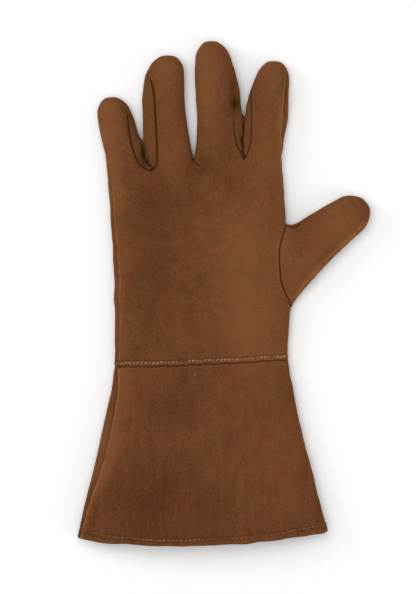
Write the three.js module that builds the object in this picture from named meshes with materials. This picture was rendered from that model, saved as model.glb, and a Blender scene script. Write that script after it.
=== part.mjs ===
// A costume gauntlet glove for the left hand, in brown faux suede, lying flat on its palm with its
// fingers spread. It is sewn from separate cloth pieces: a back and a palm cut with their four fingers,
// a fourchette on each side of each gap between the fingers, a set-in thumb, and a flared cuff in two
// halves with a turned-in hem. Millimetres, +Z up, +Y towards the fingertips, +X towards the thumb,
// resting on z = 0.
//
// The whole glove is first lofted as one skin, a mesh of quads whose rows cross the glove and whose
// columns follow its seams. Each cloth piece is then the stretch of skin between its seams, thickened
// inwards, so it is hollow.
import * as THREE from "three";

// Cloth
const WALL = 1.5;
const HEM_WALL = 2.6; // the hem is two layers, pressed together
const CROTCH_WALL = 0.6; // in the fold at the bottom of the gap between two fingers
const SEAM_GAP = 0.34; // between two pieces that are sewn together
const LONGEST_STEP = 1.3; // back from a seam, at a sharp corner

// Mesh
const FINGER_COLUMNS = 4; // quads across the back of one finger
const SIDE_COLUMNS = 3; // quads across a fourchette, and round each edge of the hand
const HAND_COLUMNS = 4 * FINGER_COLUMNS;

// Sections: two half superellipses that meet at the edges of the outline
const EDGE_HEIGHT = 0.45; // height of the outline above the table, as a share of the section's top
const TOP_ROUNDNESS = 2.4;
const UNDER_ROUNDNESS = 3.2;
const FLATTENED = 0.4; // how much of the underside is pressed flat where the glove rests
const FOURCHETTE_ANGLE = 64; // how far round a finger's section a fourchette reaches, in degrees
const FOLD_ANGLE = 36; // the same for the cloth that wraps round an outer edge
const UNDER_LEFT = -28; // where the edge of the hand turns into its underside, as an angle
const BOW_POWER = 2.6; // a bowed section is straighter in its middle than an arc

// Fingertips
const CAP_ANGLES = [20, 40, 58, 73]; // rows of a fingertip, by angle from its last full section
const FOURCHETTE_TAPER = 3.5; // higher keeps a fourchette wide for longer before it runs to a point

// Knuckles
const KNUCKLE_VALLEY = 0.26; // how far the back dips between two fingers, as a share of its height
const CROTCH_LIFT = 2.8; // how far the palm rises off the table between two fingers

function table(columns, rows) {
  const names = columns.split(" ");
  return rows.map((row) => Object.fromEntries(names.map((name, i) => [name, row[i]])));
}

// Sections of the cuff and hand from the hem up to the knuckles. lx, ly and rx, ry are the ends of a
// section on the outline, seen from above, and top is its height. seamL and seamR are the angles of the
// side seams round it, and underR that of the palm's own edge, which leaves the seam where the thumb is
// set in. bow is how far its middle runs ahead of its ends. steps is the number of rows to the next
// section.
const BODY = table("lx ly rx ry top seamL seamR underR bow steps", [
  [-80.8, -114.2, 81.7, -109.8, 21.0, 12, 182, 208, -8.5, 1],
  [-79.8, -110.2, 80.8, -105.6, 21.0, 12, 182, 208, -8.4, 1],
  [-79.4, -108.9, 80.5, -104.2, 21.0, 12, 182, 208, -8.3, 2],
  [-75.0, -90.4, 76.0, -86.5, 21.5, 14, 182, 208, -7.0, 2],
  [-69.7, -70.2, 71.2, -68.2, 21.5, 20, 182, 208, -5.2, 2],
  [-65.1, -49.4, 66.6, -51.4, 20.5, 23, 182, 208, -3.4, 2],
  [-61.1, -30.9, 62.5, -33.8, 19.5, 23, 182, 208, -2.2, 2],
  [-58.1, -17.6, 59.3, -16.2, 18.5, 21, 182, 208, -1.4, 2],
  [-56.5, -3.6, 56.2, 1.2, 16.0, 17, 183, 208, -0.9, 2],
  [-56.2, 12.0, 56.4, 14.5, 18.5, 17, 183, 208, -0.6, 2],
  [-56.3, 30.6, 58.6, 34.8, 19.5, 17, 183, 212, 0, 1],
  [-56.8, 39.9, 58.0, 43.8, 19.7, 17, 159, 222, 0, 2],
  [-56.6, 57.6, 56.8, 61.8, 20.0, 18, 152, 228, 0, 2],
  [-57.6, 75.2, 55.6, 79.9, 19.8, 17, 158, 222, 0, 1],
  [-58.2, 83.9, 55.2, 88.7, 19.6, 15, 183, 212, 0, 2],
  [-59.2, 102.0, 54.1, 106.0, 18.8, 14, 183, 208, 0, 2],
  [-60.8, 123.5, 51.6, 130.7, 18.0, 16, 183, 208, 0, 0],
]);
const HEM_ROWS = 2; // the first two rows bound the hem
const WRIST_SECTION = 8; // the section of BODY where the cuff is sewn on
const THUMB_SECTIONS = [10, 14]; // the sections that bound the opening for the thumb

// Sections of each finger from its root to the start of its rounded tip. seamL and seamR are the angles
// of the seams beside the back of the finger: a finger that lies rolled shows its fourchette on one
// side. The seams beside a fourchette join at its point, at the angles apexL and apexR. tip is the
// length of the rounded tip, and lean is how far its end lies off the middle, towards the thumb.
const FINGERS = [
  {
    name: "little",
    reachL: FOLD_ANGLE,
    apexL: 0,
    apexR: 160,
    tip: 12.3,
    lean: -1.2,
    sections: table("lx ly rx ry top seamL seamR steps", [
      [-61.9, 128.7, -38.3, 134.4, 15.8, 4, 128, 2],
      [-64.9, 145.0, -39.7, 145.3, 14.6, -6, 125, 2],
      [-67.6, 158.3, -44.9, 161.0, 13.2, -8, 132, 0],
    ]),
  },
  {
    name: "ring",
    apexL: 38,
    apexR: 180,
    tip: 16.2,
    lean: 2.2,
    sections: table("lx ly rx ry top seamL seamR steps", [
      [-37.0, 134.4, -5.9, 135.2, 17.0, 62, 156, 2],
      [-38.4, 150.2, -8.7, 149.5, 16.6, 68, 174, 2],
      [-38.3, 167.7, -10.9, 167.1, 15.8, 66, 180, 2],
      [-36.9, 182.3, -10.9, 182.0, 14.8, 62, 180, 0],
    ]),
  },
  {
    name: "middle",
    apexL: 0,
    apexR: 172,
    tip: 14.8,
    lean: -1.6,
    sections: table("lx ly rx ry top seamL seamR steps", [
      [-3.6, 135.5, 27.4, 139.8, 17.4, 24, 130, 2],
      [-2.2, 152.1, 28.2, 152.1, 17.0, 10, 125, 2],
      [-3.1, 171.0, 26.0, 171.0, 16.2, 8, 136, 3],
      [-4.4, 192.7, 20.0, 192.7, 15.0, 6, 150, 0],
    ]),
  },
  {
    name: "index",
    reachR: FOLD_ANGLE,
    apexL: 8,
    apexR: 154,
    tip: 14.4,
    lean: 2.4,
    sections: table("lx ly rx ry top seamL seamR steps", [
      [28.5, 139.8, 52.2, 137.8, 17.0, 43, 180, 2],
      [28.7, 155.3, 55.6, 156.0, 16.4, 48, 162, 2],
      [30.5, 169.7, 56.7, 169.7, 15.8, 44, 146, 1],
      [33.5, 179.4, 56.8, 180.7, 15.0, 40, 143, 0],
    ]),
  },
];

// Where the seams on both sides of a gap between fingers meet (x, y), and the bottom of the gap itself
// (webX, webY)
const CROTCHES = table("x y webX webY", [
  [-33.1, 124.0, -34.6, 127.0],
  [-4.9, 129.0, -4.9, 132.0],
  [27.8, 131.3, 27.6, 135.5],
]);

// Sections of the thumb, as for a finger: its left edge is the one nearer the index finger
const THUMB = {
  reachL: 44,
  reachR: 44,
  apexL: 0,
  apexR: 180,
  tip: 15.4,
  lean: -0.8,
  sections: table("lx ly rx ry top seamL seamR steps", [
    [61.4, 89.6, 64.6, 45.0, 16.2, 12, 163, 1],
    [67.3, 92.9, 71.8, 52.4, 17.0, 12, 162, 1],
    [73.8, 96.8, 80.8, 62.7, 17.0, 12, 160, 1],
    [80.3, 100.4, 91.3, 72.5, 16.4, 12, 160, 1],
    [87.1, 104.1, 102.6, 82.7, 15.4, 12, 160, 0],
  ]),
};

// Soft hollows in the back of the hand and the cuff
const HOLLOWS = table("x y radius depth", [
  [-30, 62, 26, 2.2],
  [2, 104, 22, 1.6],
  [30, 22, 20, 1.2],
  [-22, -62, 30, 2.4],
  [44, -84, 22, 1.8],
]);

const radians = THREE.MathUtils.degToRad;
const lerp = THREE.MathUtils.lerp;

// Every row of a loft: cubic Hermite curves through its sections, one for each column of the table.
function loft(sections) {
  const starts = [];
  let count = 0;
  for (const section of sections) {
    starts.push(count);
    count += section.steps;
  }
  const slope = (name, i) => {
    const before = Math.max(i - 1, 0);
    const after = Math.min(i + 1, sections.length - 1);
    return (sections[after][name] - sections[before][name]) / (starts[after] - starts[before]);
  };
  const rows = [];
  sections.slice(0, -1).forEach((section, i) => {
    const next = sections[i + 1];
    for (let step = 0; step < section.steps; step++) {
      const t = step / section.steps;
      const row = {};
      for (const name of Object.keys(section)) {
        const leave = slope(name, i) * section.steps;
        const arrive = slope(name, i + 1) * section.steps;
        row[name] =
          (2 * t ** 3 - 3 * t ** 2 + 1) * section[name] +
          (t ** 3 - 2 * t ** 2 + t) * leave +
          (3 * t ** 2 - 2 * t ** 3) * next[name] +
          (t ** 3 - t ** 2) * arrive;
      }
      rows.push(row);
    }
  });
  rows.push({ ...sections.at(-1) });
  return { rows, starts };
}

// Height in a section at a distance from its centre line, 0 to 1 at the outline, on its top or underside.
function sectionHeight(top, reach, above) {
  const edge = EDGE_HEIGHT * top;
  const power = above ? TOP_ROUNDNESS : UNDER_ROUNDNESS;
  const rise = (1 - Math.min(reach, 1) ** power) ** (1 / power);
  return above ? edge + (top - edge) * rise : Math.max(0, edge - (edge + FLATTENED) * rise);
}

// A point of a section at an angle round it: 0 is its left edge, 90 its top, 180 its right edge, 270
// its underside.
function sectionPoint(row, angle) {
  const across = -Math.cos(radians(angle));
  const share = (1 + across) / 2;
  const above = Math.sin(radians(angle)) >= 0;
  return new THREE.Vector3(
    lerp(row.lx, row.rx, share),
    lerp(row.ly, row.ry, share) + (row.bow ?? 0) * (1 - Math.abs(across) ** BOW_POWER),
    sectionHeight(row.top, Math.abs(across), above),
  );
}

const shareOf = (angle) => (1 - Math.cos(radians(angle))) / 2;
const angleOf = (share) => THREE.MathUtils.radToDeg(Math.acos(1 - 2 * share));
const spread = (from, to, count) => Array.from({ length: count + 1 }, (_, i) => lerp(from, to, i / count));

// The skin: its points, the wall thickness at each, and its faces with the name of the piece that each
// belongs to.
const skin = { points: [], walls: [], faces: [] };

function addPoint(point, wall = WALL) {
  skin.points.push(point);
  skin.walls.push(wall);
  return skin.points.length - 1;
}

// Faces between two rows of points. A face whose corners coincide becomes a triangle.
function addStrip(lower, upper, piece) {
  for (let i = 0; i + 1 < lower.length; i++) {
    const corners = [lower[i], lower[i + 1], upper[i + 1], upper[i]];
    const distinct = corners.filter((corner, k) => corner !== corners[(k + 1) % corners.length]);
    if (distinct.length > 2) skin.faces.push({ corners: distinct, piece });
  }
}

// A ring is four runs of points that meet at its seams: over the top from left to right, down the right
// side, back along the underside, and up the left side. pieces names the cloth piece of each run, or
// null for no cloth.
function addRing(lower, upper, pieces) {
  for (const run of ["top", "right", "under", "left"]) {
    if (pieces[run]) addStrip(lower[run], upper[run], pieces[run]);
  }
}

function ringOf(corners, runs) {
  const [topLeft, topRight, underRight, underLeft] = corners;
  return {
    top: [topLeft, ...runs.top, topRight],
    right: [topRight, ...runs.right, underRight],
    under: [underRight, ...runs.under, underLeft],
    left: [underLeft, ...runs.left, topLeft],
  };
}

// The cuff and hand

const body = loft(BODY);
const wristRow = body.starts[WRIST_SECTION];
const knuckleRow = body.rows.length - 1;
const [thumbFrom, thumbTo] = THUMB_SECTIONS.map((section) => body.starts[section]);

// Shares across the knuckle row of the columns that run up the fingers, evenly spread over each
// finger's width.
function knuckleShares(from, to) {
  const row = body.rows[knuckleRow];
  const limits = [from, ...CROTCHES.map((crotch) => (crotch.x - row.lx) / (row.rx - row.lx)), to];
  return spread(0, HAND_COLUMNS, HAND_COLUMNS).map((column) => {
    const finger = Math.min(Math.floor(column / FINGER_COLUMNS), FINGERS.length - 1);
    return lerp(limits[finger], limits[finger + 1], column / FINGER_COLUMNS - finger);
  });
}

// How far a column of the hand lies from the middle of its finger, from 0 to 1 at the gap beside it.
// The outer edges of the little and index fingers have no gap.
function gapNearness(column) {
  const finger = Math.min(Math.floor(column / FINGER_COLUMNS), FINGERS.length - 1);
  const place = 2 * (column / FINGER_COLUMNS - finger) - 1;
  const outer = (finger === 0 && place < 0) || (finger === FINGERS.length - 1 && place > 0);
  return outer ? 0 : Math.abs(place) ** 3;
}

// How far the knuckle row runs ahead of a straight section, at a share across it, so that it passes the
// crotches.
function knuckleLead(share) {
  const row = body.rows[knuckleRow];
  const stops = CROTCHES.map((crotch) => {
    const at = (crotch.x - row.lx) / (row.rx - row.lx);
    return [at, crotch.y - lerp(row.ly, row.ry, at)];
  });
  const line = [[0, 0], ...stops, [1, 0]];
  const next = line.findIndex(([at]) => at >= share - 1e-9) || 1;
  const [[fromShare, fromLead], [toShare, toLead]] = [line[next - 1], line[next]];
  return lerp(fromLead, toLead, (share - fromShare) / (toShare - fromShare));
}

function hollowDepth(x, y) {
  return HOLLOWS.reduce((sum, hollow) => {
    const distance = Math.hypot(x - hollow.x, y - hollow.y) / hollow.radius;
    return sum + hollow.depth * Math.exp(-(distance ** 2));
  }, 0);
}

// A point in the top or underside of the hand, at a column and at a share across the section.
function handPoint(index, column, share, above) {
  const row = body.rows[index];
  const knuckle = Math.max(0, (index - wristRow) / (knuckleRow - wristRow));
  const point = sectionPoint(row, above ? angleOf(share) : 360 - angleOf(share));
  point.y += knuckleLead(share) * knuckle ** 3;
  const valley = gapNearness(column) * knuckle ** 8;
  const edge = EDGE_HEIGHT * row.top;
  if (above) {
    const crown = (point.z - edge) / (row.top - edge);
    point.z -= crown * (KNUCKLE_VALLEY * row.top * valley + hollowDepth(point.x, point.y));
  } else {
    point.z += CROTCH_LIFT * valley;
  }
  return point;
}

function bodyRing(index) {
  const row = body.rows[index];
  const wall = index < HEM_ROWS ? HEM_WALL : WALL;
  const knuckle = Math.max(0, (index - wristRow) / (knuckleRow - wristRow));
  const runOf = (fromAngle, toAngle, above) => {
    const even = spread(fromAngle, toAngle, HAND_COLUMNS).map(shareOf);
    const fingered = knuckleShares(even[0], even.at(-1));
    return even.map((share, column) =>
      addPoint(handPoint(index, column, lerp(share, fingered[column], knuckle), above), wall),
    );
  };
  const top = runOf(row.seamL, Math.min(row.seamR, 180), true);
  const under = runOf(-UNDER_LEFT, 360 - row.underR, false).reverse();
  const side = (fromAngle, toAngle) =>
    spread(fromAngle, toAngle, SIDE_COLUMNS)
      .slice(1, -1)
      .map((angle) => addPoint(sectionPoint(row, angle), wall));
  const inThumbOpening = index > thumbFrom && index < thumbTo;
  return {
    top,
    right: [top.at(-1), ...(inThumbOpening ? [] : side(row.seamR, row.underR)), under[0]],
    under,
    left: [under.at(-1), ...side(UNDER_LEFT, row.seamL), top[0]],
  };
}

const bodyRings = body.rows.map((_, index) => bodyRing(index));
for (let index = 0; index < knuckleRow; index++) {
  const cuff = index < wristRow;
  const back = cuff ? "cuff_back" : "hand_back";
  const palm = cuff ? "cuff_palm" : "hand_palm";
  const besideThumb = index >= thumbFrom && index < thumbTo;
  const pieces = { top: back, right: besideThumb ? null : palm, under: palm, left: palm };
  addRing(bodyRings[index], bodyRings[index + 1], pieces);
}

// The fingers and the thumb are tubes: rings from a base ring that is already in the skin, and a
// rounded tip

// A ring at a row of a tube. At the row where the tip starts, progress 1, the sides have run to a point.
function tubeRing(tube, row, progress, columns) {
  const width = 1 - progress ** FOURCHETTE_TAPER;
  const seamL = lerp(tube.apexL, row.seamL, width);
  const seamR = lerp(tube.apexR, row.seamR, width);
  const reachL = (tube.reachL ?? FOURCHETTE_ANGLE) * width;
  const reachR = (tube.reachR ?? FOURCHETTE_ANGLE) * width;
  const at = (angle) => addPoint(sectionPoint(row, angle));
  const inner = (from, to, count) => spread(from, to, count).slice(1, -1).map(at);
  const topLeft = at(seamL);
  const topRight = at(seamR);
  const closed = progress === 1;
  const underRight = closed ? topRight : at(seamR + reachR);
  const underLeft = closed ? topLeft : at(seamL - reachL);
  return ringOf([topLeft, topRight, underRight, underLeft], {
    top: inner(seamL, seamR, columns),
    right: closed ? [topRight, topRight] : inner(seamR, seamR + reachR, SIDE_COLUMNS),
    under: inner(seamR + reachR, seamL - reachL + 360, columns),
    left: closed ? [topLeft, topLeft] : inner(seamL - reachL, seamL, SIDE_COLUMNS),
  });
}

// A row of a rounded tip, at an angle from the last full section. The last row closes the tip along one
// line.
function tipRing(tube, row, angle, columns) {
  const last = CAP_ANGLES.at(-1);
  const closed = angle === last;
  const seamL = lerp(tube.apexL, 0, angle / last);
  const seamR = lerp(tube.apexR, 180, angle / last);
  const centre = new THREE.Vector2((row.lx + row.rx) / 2, (row.ly + row.ry) / 2);
  const across = new THREE.Vector2(row.rx - row.lx, row.ry - row.ly);
  const half = across.length() / 2;
  const sideways = across.normalize();
  const forwards = new THREE.Vector2(-sideways.y, sideways.x);
  const at = (sectionAngle) => {
    const place = -Math.cos(radians(sectionAngle));
    const side = place * Math.cos(radians(angle));
    const crown = (1 - Math.sin(radians(last))) * (angle / last) * (1 - place ** 2);
    const ahead = Math.sin(radians(angle)) + crown;
    const spot = centre
      .clone()
      .addScaledVector(sideways, side * half + ahead * tube.lean)
      .addScaledVector(forwards, ahead * tube.tip);
    const reach = closed ? 1 : Math.hypot(side, ahead);
    const above = Math.sin(radians(sectionAngle)) >= 0;
    return addPoint(new THREE.Vector3(spot.x, spot.y, sectionHeight(row.top, reach, above)));
  };
  const top = spread(seamL, seamR, columns).map(at);
  const under = closed ? top.toReversed() : spread(seamR, seamL + 360, columns).slice(1, -1).map(at);
  const [left, right] = [top[0], top.at(-1)];
  return ringOf([left, right, right, left], {
    top: top.slice(1, -1),
    right: [right, right],
    under: closed ? under.slice(1, -1) : under,
    left: [left, left],
  });
}

function addTube(base, tube, columns, pieces) {
  const { rows } = loft(tube.sections);
  const last = rows.at(-1);
  const rings = [
    base,
    ...rows.map((row, i) => tubeRing(tube, row, i / (rows.length - 1), columns)),
    ...CAP_ANGLES.map((angle) => tipRing(tube, last, angle, columns)),
  ];
  for (let i = 0; i + 1 < rings.length; i++) addRing(rings[i], rings[i + 1], pieces);
}

// The bottom of each gap between fingers: a line of points from the back of the hand down to the palm.
const knuckles = bodyRings[knuckleRow];
const webs = CROTCHES.map((crotch, gap) => {
  const column = (gap + 1) * FINGER_COLUMNS;
  const [above, below] = [knuckles.top[column], knuckles.under[HAND_COLUMNS - column]];
  skin.walls[above] = CROTCH_WALL;
  skin.walls[below] = CROTCH_WALL;
  const inner = spread(0, 1, SIDE_COLUMNS)
    .slice(1, -1)
    .map((share) => {
      const point = skin.points[above].clone().lerp(skin.points[below], share);
      const depth = Math.sin(Math.PI * share);
      point.x += (crotch.webX - crotch.x) * depth;
      point.y += (crotch.webY - crotch.y) * depth;
      return addPoint(point, CROTCH_WALL);
    });
  return [above, ...inner, below];
});

FINGERS.forEach((finger, i) => {
  const [from, to] = [i * FINGER_COLUMNS, (i + 1) * FINGER_COLUMNS];
  const outerLeft = i === 0;
  const outerRight = i === FINGERS.length - 1;
  const base = {
    top: knuckles.top.slice(from, to + 1),
    right: outerRight ? knuckles.right : webs[i],
    under: knuckles.under.slice(HAND_COLUMNS - to, HAND_COLUMNS - from + 1),
    left: outerLeft ? knuckles.left : webs[i - 1].toReversed(),
  };
  addTube(base, finger, FINGER_COLUMNS, {
    top: "hand_back",
    right: outerRight ? "hand_palm" : `fourchette_${finger.name}_right`,
    under: "hand_palm",
    left: outerLeft ? "hand_palm" : `fourchette_${finger.name}_left`,
  });
});

// The thumb starts from the opening between the back and the palm.
const openingRings = bodyRings.slice(thumbFrom, thumbTo + 1);
const thumbBase = {
  top: openingRings.map((ring) => ring.right[0]).reverse(),
  right: openingRings[0].right,
  under: openingRings.map((ring) => ring.right.at(-1)),
  left: openingRings.at(-1).right.toReversed(),
};
const thumbCloth = { top: "thumb", right: "thumb", under: "thumb", left: "thumb" };
addTube(thumbBase, THUMB, thumbTo - thumbFrom, thumbCloth);

// Outward directions of the skin, averaged over the faces round each point.
const normals = skin.points.map(() => new THREE.Vector3());
for (const { corners } of skin.faces) {
  const [a, b, c, d = c] = corners.map((corner) => skin.points[corner]);
  const normal = c.clone().sub(a).cross(d.clone().sub(b));
  if (corners.length === 3) normal.crossVectors(b.clone().sub(a), c.clone().sub(a));
  corners.forEach((corner) => normals[corner].add(normal));
}
normals.forEach((normal) => normal.normalize());

// How far each border point of a piece steps back from the seam, for half the gap along both of its
// border edges.
function seamSteps(faces) {
  const borders = new Map();
  for (const { corners } of faces) {
    corners.forEach((from, i) => {
      const to = corners[(i + 1) % corners.length];
      if (!borders.delete(`${to} ${from}`)) borders.set(`${from} ${to}`, [from, to]);
    });
  }
  const inwards = new Map();
  for (const [from, to] of borders.values()) {
    const along = skin.points[to].clone().sub(skin.points[from]);
    const middle = normals[from].clone().add(normals[to]);
    const inward = middle.cross(along).normalize();
    for (const end of [from, to]) inwards.set(end, [...(inwards.get(end) ?? []), inward]);
  }
  const steps = new Map();
  for (const [end, [first, second = first]] of inwards) {
    const step = SEAM_GAP / Math.sqrt(2 + 2 * first.dot(second));
    steps.set(end, first.clone().add(second).setLength(Math.min(step, LONGEST_STEP)));
  }
  return { steps, borders: [...borders.values()] };
}

// A stretch of skin as a closed wall: its outer face, its inner face, and the edges between them.
function clothGeometry(faces) {
  const { steps, borders } = seamSteps(faces);
  const positions = [];
  const outer = new Map();
  const indexOf = (corner) => {
    if (!outer.has(corner)) {
      const point = skin.points[corner].clone();
      if (steps.has(corner)) point.add(steps.get(corner));
      const inside = point.clone().addScaledVector(normals[corner], -skin.walls[corner]);
      outer.set(corner, positions.length / 3);
      positions.push(...point.toArray(), ...inside.toArray());
    }
    return outer.get(corner);
  };
  const triangles = [];
  for (const { corners } of faces) {
    const [a, b, c, d] = corners.map(indexOf);
    const halves = d === undefined ? [[a, b, c]] : [[a, b, c], [a, c, d]];
    for (const [p, q, r] of halves) triangles.push(p, q, r, p + 1, r + 1, q + 1);
  }
  // Both sides of a seam split along the same diagonal, so that they stay parallel where the seam twists.
  for (const [from, to] of borders) {
    const [p, q] = [indexOf(from), indexOf(to)];
    if (from < to) triangles.push(q, p, q + 1, p, p + 1, q + 1);
    else triangles.push(q, p, p + 1, q, p + 1, q + 1);
  }
  return new THREE.BufferGeometry()
    .setAttribute("position", new THREE.Float32BufferAttribute(positions, 3))
    .setIndex(triangles);
}

// Brown faux suede, slightly darker in the fourchettes and the palm
const SUEDE = {
  hand_back: 0x70472a,
  hand_palm: 0x6a4226,
  cuff_back: 0x6c4428,
  cuff_palm: 0x684025,
  thumb: 0x70472a,
};
const FOURCHETTE_SUEDE = 0x66402a;

const glove = new THREE.Group();
for (const piece of new Set(skin.faces.map((face) => face.piece))) {
  const geometry = clothGeometry(skin.faces.filter((face) => face.piece === piece));
  geometry.computeVertexNormals();
  const color = SUEDE[piece] ?? FOURCHETTE_SUEDE;
  const material = new THREE.MeshStandardMaterial({ color, roughness: 0.95, metalness: 0 });
  const mesh = new THREE.Mesh(geometry, material);
  mesh.name = piece;
  glove.add(mesh);
}

// The origin is on the table, under the middle of the glove's outline.
const middle = new THREE.Box3().setFromObject(glove).getCenter(new THREE.Vector3());
glove.position.set(-middle.x, -middle.y, 0);

export default glove;
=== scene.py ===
import math
from random import Random

import bmesh
import bpy
import numpy as np
from mathutils import Matrix, Vector, geometry, noise
from mathutils.bvhtree import BVHTree
from mathutils.kdtree import KDTree


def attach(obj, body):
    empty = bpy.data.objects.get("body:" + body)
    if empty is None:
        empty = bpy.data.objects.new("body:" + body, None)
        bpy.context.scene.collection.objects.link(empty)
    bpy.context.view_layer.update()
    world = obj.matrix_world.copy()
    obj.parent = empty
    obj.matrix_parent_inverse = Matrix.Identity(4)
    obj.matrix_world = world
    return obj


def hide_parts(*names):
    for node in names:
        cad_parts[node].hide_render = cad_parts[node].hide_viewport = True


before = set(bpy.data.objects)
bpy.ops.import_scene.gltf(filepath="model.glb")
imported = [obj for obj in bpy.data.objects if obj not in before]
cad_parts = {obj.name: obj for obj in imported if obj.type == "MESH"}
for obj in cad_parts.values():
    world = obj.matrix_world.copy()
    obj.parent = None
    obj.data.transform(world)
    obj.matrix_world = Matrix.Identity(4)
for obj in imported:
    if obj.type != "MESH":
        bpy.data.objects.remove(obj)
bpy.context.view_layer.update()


# ---- The cut pieces, sewn together
# A gauntlet glove is cut from brown faux suede: a back and a palm with their fingers, a thumb, two cuff
# halves and a strip on each side of every gap between the fingers. The pieces are sewn with their faces
# together and turned. Here their outer faces are joined along the seams and rounded, as one skin.

MM = 0.001
CUT_PIECES = [
    "hand_back", "hand_palm", "thumb", "cuff_back", "cuff_palm",
    "fourchette_little_right", "fourchette_ring_left", "fourchette_ring_right",
    "fourchette_middle_left", "fourchette_middle_right", "fourchette_index_left",
]
# The lengths of the edges that cross the cloth's thickness: of a panel, of the hem and of a strip's point
WALL_STEPS = (1.5 * MM, 2.6 * MM, 0.6 * MM)
WALL_SLACK = 0.003 * MM
SAME_POINT = 0.001 * MM
SEAM_GAP = 0.45 * MM
CORNER_GAP = 2.4 * MM
HEM_END = -100 * MM  # no corner where seams meet lies below this
FITTING_ROUNDS = 3
FITTING_SHARE = 0.8


def islands(faces):
    """The connected groups of some faces."""
    left, groups = set(faces), []
    while left:
        group = [left.pop()]
        for face in group:
            for edge in face.edges:
                for other in edge.link_faces:
                    if other in left:
                        left.discard(other)
                        group.append(other)
        groups.append(group)
    return groups


def outer_face(name):
    """A merged copy of a cut piece's solid without its edge walls and its inner face."""
    cloth = bmesh.new()
    cloth.from_mesh(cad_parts[name].data)
    bmesh.ops.remove_doubles(cloth, verts=cloth.verts, dist=SAME_POINT)
    walls = {
        face for edge in cloth.edges for face in edge.link_faces
        if any(abs(edge.calc_length() - step) < WALL_SLACK for step in WALL_STEPS)
    }
    bmesh.ops.delete(cloth, geom=list(walls), context="FACES")
    sides = sorted(islands(cloth.faces), key=lambda side: sum(face.calc_area() for face in side))
    bmesh.ops.delete(cloth, geom=[face for side in sides[:-1] for face in side], context="FACES")
    return cloth


skin = bmesh.new()
for number, name in enumerate(CUT_PIECES):
    cloth = outer_face(name)
    for face in cloth.faces:
        face.material_index = number
    flat = bpy.data.meshes.new(name)
    cloth.to_mesh(flat)
    cloth.free()
    skin.from_mesh(flat)
    bpy.data.meshes.remove(flat)

bmesh.ops.remove_doubles(skin, verts=[v for v in skin.verts if v.is_boundary], dist=SEAM_GAP)
corners = [v for v in skin.verts if v.is_boundary and v.co.y > HEM_END]
bmesh.ops.remove_doubles(skin, verts=corners, dist=CORNER_GAP)
bmesh.ops.join_triangles(
    skin, faces=skin.faces, cmp_materials=True,
    angle_face_threshold=math.pi, angle_shape_threshold=math.pi,
)
skin_mesh = bpy.data.meshes.new("sewn_skin")
skin.to_mesh(skin_mesh)
skin.free()
sewn = bpy.data.objects.new("sewn_skin", skin_mesh)
bpy.context.scene.collection.objects.link(sewn)


def rounded(piece, levels):
    """The mesh of a piece with its facets rounded off."""
    rounding = piece.modifiers.new("rounding", "SUBSURF")
    rounding.levels = rounding.render_levels = levels
    smooth = piece.evaluated_get(bpy.context.evaluated_depsgraph_get())
    mesh = bpy.data.meshes.new_from_object(smooth)
    piece.modifiers.remove(rounding)
    return mesh


# The rounded skin goes through the points of the cut pieces.
aims = [vertex.co.copy() for vertex in skin_mesh.vertices]
for _ in range(FITTING_ROUNDS):
    reached = rounded(sewn, 2)
    for vertex, aim, point in zip(skin_mesh.vertices, aims, reached.vertices):
        vertex.co += FITTING_SHARE * (aim - point.co)
    bpy.data.meshes.remove(reached)
sewn.data = rounded(sewn, 1)
bpy.data.meshes.remove(skin_mesh)


# ---- The cloth, settled
# The empty glove lies on its palm. The suede is soft and a little springy: its panels sag between the
# seams, and the seams, stitched slightly short, gather it. What lies on the table and the hem stay put.

SETTLING_FRAMES = 20
HELD_BELOW = 1.2 * MM
HEM_AT = -164 * MM
HELD_BY_HEM = 14 * MM
FREE_EDGE = 0.6  # points with a shorter edge than this, in mm, are held, because they would shake
LEAST_HELD = 0.02
SHORTER_SEAMS = 0.03
MOST_SAG = 2.2 * MM
MOST_SHIFT = 0.5 * MM

flat = sewn.data
before = [vertex.co.copy() for vertex in flat.vertices]
pieces_of = [set() for _ in flat.vertices]
for face in flat.polygons:
    for corner in face.vertices:
        pieces_of[corner].add(face.material_index)
held = sewn.vertex_groups.new(name="held")
gathered = sewn.vertex_groups.new(name="gathered")
shortest = [1.0] * len(flat.vertices)
for edge in flat.edges:
    length = (before[edge.vertices[0]] - before[edge.vertices[1]]).length
    for end in edge.vertices:
        shortest[end] = min(shortest[end], length)
for vertex in flat.vertices:
    on_table = 1 - max(0, vertex.co.z) / HELD_BELOW
    at_hem = 1 - (vertex.co.y - HEM_AT) / HELD_BY_HEM
    short = 1 + FREE_EDGE - shortest[vertex.index] / MM
    held.add([vertex.index], min(1, max(LEAST_HELD, on_table, at_hem, short)), "REPLACE")
    if len(pieces_of[vertex.index]) > 1:
        gathered.add([vertex.index], 1, "REPLACE")
settling = sewn.modifiers.new("settling", "CLOTH")
fabric = settling.settings
fabric.quality = 6
fabric.mass = 0.02
fabric.tension_stiffness = fabric.compression_stiffness = 12
fabric.shear_stiffness = 6
fabric.bending_stiffness = 0.6
fabric.air_damping = 4
fabric.vertex_group_mass = "held"
fabric.pin_stiffness = 0.5
fabric.vertex_group_shrink = "gathered"
fabric.shrink_min = 0
fabric.shrink_max = SHORTER_SEAMS
fabric.use_pressure = True
fabric.uniform_pressure_force = 0.4
fabric.effector_weights.gravity = 0.3
settling.collision_settings.use_collision = False
settling.point_cache.frame_start = 1
settling.point_cache.frame_end = SETTLING_FRAMES
for frame_number in range(1, SETTLING_FRAMES + 1):
    bpy.context.scene.frame_set(frame_number)
settled = sewn.evaluated_get(bpy.context.evaluated_depsgraph_get())
moves = [after.co - start for after, start in zip(settled.data.vertices, before)]
sewn.modifiers.remove(settling)
sewn.vertex_groups.clear()
bpy.context.scene.frame_set(1)
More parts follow.
